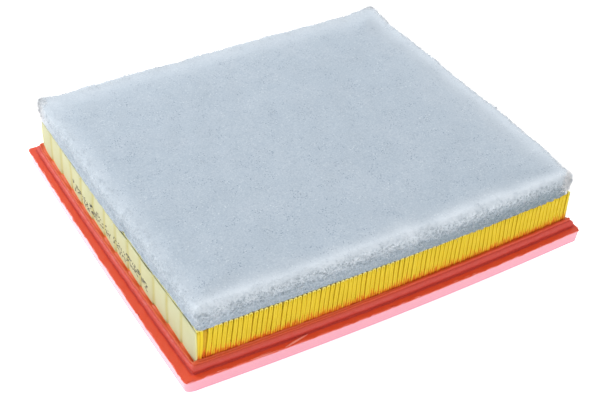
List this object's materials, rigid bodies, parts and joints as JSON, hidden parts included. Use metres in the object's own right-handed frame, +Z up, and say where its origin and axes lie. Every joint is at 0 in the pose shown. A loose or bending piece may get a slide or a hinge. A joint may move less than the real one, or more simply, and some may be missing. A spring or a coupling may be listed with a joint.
{
  "type": "panel air filter element",
  "caption": "Rectangular panel air filter element: pleated paper pack in a moulded seal frame, with a thick fleece pre-filter pad on top.",
  "frame": {"origin": "centre of the seal frame's underside", "axes": "+X along the frame's long side, across the folds; +Y along the folds; +Z up, from the seal face to the fleece"},
  "size_m": [0.2632, 0.2352, 0.05],
  "materials": {
    "seal_frame": "satin moulded polyurethane foam, red-orange, paler on the outer skirt",
    "filter_paper": "matt resin-treated embossed paper, yellow, cream on its outer ply",
    "fleece": "matt needled fleece, pale blue-grey",
    "edge_glue": "satin hot-melt glue, amber",
    "glue_thread": "satin hot-melt glue, pale straw"
  },
  "bodies": {
    "root": {"seal_frame": "seal_frame", "pleated_media": "filter_paper", "prefilter_fleece": "fleece", "edge_glue_front": "edge_glue", "edge_glue_rear": "edge_glue", "spacer_thread_01": "glue_thread", "spacer_thread_02": "glue_thread", "spacer_thread_03": "glue_thread", "spacer_thread_04": "glue_thread", "spacer_thread_05": "glue_thread", "spacer_thread_06": "glue_thread", "spacer_thread_07": "glue_thread", "spacer_thread_08": "glue_thread", "spacer_thread_09": "glue_thread", "spacer_thread_10": "glue_thread", "spacer_thread_11": "glue_thread", "spacer_thread_12": "glue_thread", "fleece_bond_1": "glue_thread", "fleece_bond_2": "glue_thread", "fleece_bond_3": "glue_thread", "fleece_bond_4": "glue_thread"}
  },
  "joints": []
}
